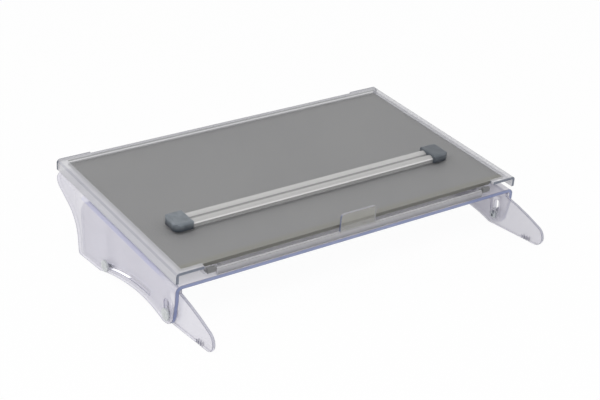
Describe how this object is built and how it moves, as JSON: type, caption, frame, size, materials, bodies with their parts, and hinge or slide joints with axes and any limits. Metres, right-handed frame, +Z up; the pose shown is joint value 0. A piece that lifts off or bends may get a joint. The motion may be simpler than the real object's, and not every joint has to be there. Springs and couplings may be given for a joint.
{
  "type": "document holder with drawer",
  "caption": "Sloping clear plastic document holder with sliding writing board, shallow drawer with pull tab, sliding line ruler and height-adjustable legs.",
  "frame": {"origin": "on the desk, under the middle of the holder's overall box", "axes": "+X to the user's right along the board's width, +Y from the user towards the rear, +Z up"},
  "size_m": [0.528, 0.3804, 0.1166],
  "materials": {
    "clear_frame": "polished clear sheet with bluish cut edges",
    "clear_leg": "polished clear sheet with pale cut edges",
    "clear_cover": "polished clear sheet with slate cut edges",
    "grey_panel": "fine matt grey",
    "clear_slide": "clear extruded",
    "drawer_clear": "clear, slightly frosted front",
    "bumper_rubber": "matt dark grey",
    "ruler_clear": "clear extruded, ribbed",
    "slate_rubber": "matt slate grey",
    "bolt_steel": "satin",
    "nylon": "natural, translucent",
    "knob_plastic": "milky clear"
  },
  "bodies": {
    "frame": {"base_frame": "clear_frame", "left_rail": "clear_slide", "right_rail": "clear_slide", "leg_bolts": "bolt_steel", "spacer_washers": "nylon", "head_washers": "nylon", "knob_washers": "nylon"},
    "board": {"cover": "clear_cover", "writing_panel": "grey_panel", "left_runner": "clear_slide", "right_runner": "clear_slide", "left_bumper": "bumper_rubber", "right_bumper": "bumper_rubber"},
    "drawer": {"drawer_tray": "drawer_clear", "drawer_front": "drawer_clear"},
    "ruler": {"ruler_bar": "ruler_clear", "left_ruler_cap": "slate_rubber", "right_ruler_cap": "slate_rubber"},
    "left_leg": {"left_leg": "clear_leg"},
    "right_leg": {"right_leg": "clear_leg"},
    "front_left_knob": {"front_left_knob": "knob_plastic"},
    "front_right_knob": {"front_right_knob": "knob_plastic"},
    "rear_left_knob": {"rear_left_knob": "knob_plastic"},
    "rear_right_knob": {"rear_right_knob": "knob_plastic"}
  },
  "joints": [
    {"name": "board_slide", "type": "slide", "parent": "frame", "child": "board", "axis": [0, -0.9919, -0.1271], "range_m": [0, 0.15]},
    {"name": "drawer_slide", "type": "slide", "parent": "board", "child": "drawer", "axis": [0, -0.9919, -0.1271], "range_m": [0, 0.2]},
    {"name": "ruler_slide", "type": "slide", "parent": "board", "child": "ruler", "axis": [0, 0.9919, 0.1271], "range_m": [-0.06, 0.18]},
    {"name": "left_leg_height", "type": "slide", "parent": "frame", "child": "left_leg", "axis": [0, 0, -1], "range_m": [0, 0.024]},
    {"name": "right_leg_height", "type": "slide", "parent": "frame", "child": "right_leg", "axis": [0, 0, -1], "range_m": [0, 0.024]},
    {"name": "front_left_knob_turn", "type": "hinge", "parent": "frame", "child": "front_left_knob", "pos_m": [-0.2625, -0.09668, 0.0145], "axis": [-1, 0, 0], "range_deg": [0, 360]},
    {"name": "front_right_knob_turn", "type": "hinge", "parent": "frame", "child": "front_right_knob", "pos_m": [0.2625, -0.09668, 0.0145], "axis": [1, 0, 0], "range_deg": [0, 360]},
    {"name": "rear_left_knob_turn", "type": "hinge", "parent": "frame", "child": "rear_left_knob", "pos_m": [-0.2625, 0.05832, 0.015], "axis": [-1, 0, 0], "range_deg": [0, 360]},
    {"name": "rear_right_knob_turn", "type": "hinge", "parent": "frame", "child": "rear_right_knob", "pos_m": [0.2625, 0.05832, 0.015], "axis": [1, 0, 0], "range_deg": [0, 360]}
  ]
}
